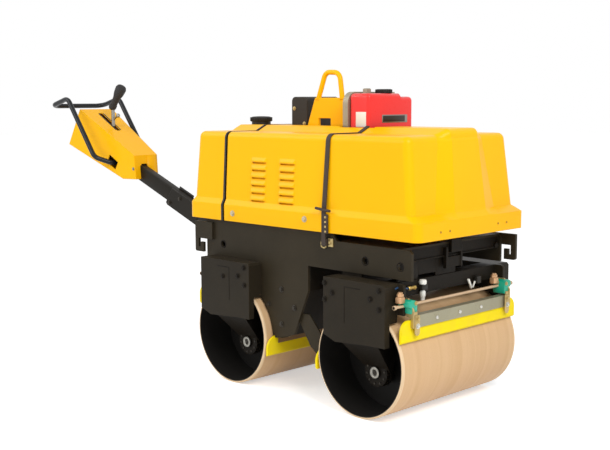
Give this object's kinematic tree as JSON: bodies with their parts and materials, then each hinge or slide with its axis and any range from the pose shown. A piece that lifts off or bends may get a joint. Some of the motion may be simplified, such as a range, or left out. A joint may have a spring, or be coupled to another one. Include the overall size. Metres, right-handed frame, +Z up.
{
  "type": "walk-behind double-drum vibratory roller",
  "caption": "Walk-behind double-drum compaction roller: steel drums, black frame, yellow hood, red fuel tank, lifting eye and a long fold-up steering handle.",
  "frame": {"origin": "on the ground, under the middle of the whole roller with its handle down", "axes": "+X forward, from the handle to the hood; +Y to the left; +Z up"},
  "size_m": [2.664, 0.764, 1.3023],
  "materials": {
    "body_yellow": "satin enamel",
    "frame_black": "satin enamel, lightly dusty",
    "strap_dark": "dull",
    "rubber_black": "dull",
    "drum_steel": "dusty, dull",
    "blade_yellow": "moulded",
    "bar_grey": "weathered",
    "zinc": "yellow zinc plate",
    "pipe_tan": "dull",
    "tank_red": "gloss enamel",
    "plastic_black": "moulded",
    "engine_grey": "cast",
    "pin_steel": "turned",
    "box_black": "satin enamel",
    "handle_black": "satin enamel"
  },
  "bodies": {
    "root": {"air_cleaner_box": "box_black", "centre_cross_plate": "frame_black", "engine_block": "engine_grey", "engine_deck": "frame_black", "engine_shroud": "engine_grey", "front_cross_member": "frame_black", "front_drum_yoke": "frame_black", "front_inner_left_bracket": "frame_black", "front_inner_right_bracket": "frame_black", "front_inner_scraper_bar": "bar_grey", "front_inner_scraper_blade": "blade_yellow", "front_left_drum_arm": "frame_black", "front_left_drum_case": "frame_black", "front_outer_left_bracket": "zinc", "front_outer_right_bracket": "zinc", "front_outer_scraper_bar": "bar_grey", "front_outer_scraper_blade": "blade_yellow", "front_right_drum_arm": "frame_black", "front_right_drum_case": "frame_black", "front_sprinkler_pipe": "pipe_tan", "fuel_cap": "plastic_black", "fuel_tank": "tank_red", "handle_pin": "pin_steel", "hood_front_cover": "body_yellow", "hood_middle_cover": "body_yellow", "hood_rear_cover": "body_yellow", "hood_seam_seal": "rubber_black", "left_hood_strap": "strap_dark", "left_side_frame": "frame_black", "lifting_bracket": "body_yellow", "rear_cross_member": "frame_black", "rear_inner_left_bracket": "frame_black", "rear_inner_right_bracket": "frame_black", "rear_inner_scraper_bar": "bar_grey", "rear_inner_scraper_blade": "blade_yellow", "rear_left_drum_arm": "frame_black", "rear_left_drum_case": "frame_black", "rear_outer_left_bracket": "zinc", "rear_outer_right_bracket": "zinc", "rear_outer_scraper_bar": "bar_grey", "rear_outer_scraper_blade": "blade_yellow", "rear_right_drum_arm": "frame_black", "rear_right_drum_case": "frame_black", "rear_sprinkler_pipe": "pipe_tan", "right_hood_strap": "strap_dark", "right_side_frame": "frame_black", "tank_breather": "engine_grey", "water_filler_cap": "plastic_black"},
    "front_drum": {"front_drum": "drum_steel"},
    "rear_drum": {"rear_drum": "drum_steel"},
    "handle": {"drawbar": "handle_black", "control_box": "body_yellow", "handlebar": "handle_black", "travel_lever": "plastic_black"}
  },
  "joints": [
    {"name": "front_drum_axle", "type": "hinge", "parent": "root", "child": "front_drum", "pos_m": [1.074, 0, 0.2125], "axis": [0, 1, 0], "continuous": true},
    {"name": "rear_drum_axle", "type": "hinge", "parent": "root", "child": "rear_drum", "pos_m": [0.35, 0, 0.2125], "axis": [0, 1, 0], "continuous": true},
    {"name": "handle_hinge", "type": "hinge", "parent": "root", "child": "handle", "pos_m": [0.012, 0, 0.544], "axis": [0, 1, 0], "range_deg": [0, 60]}
  ]
}
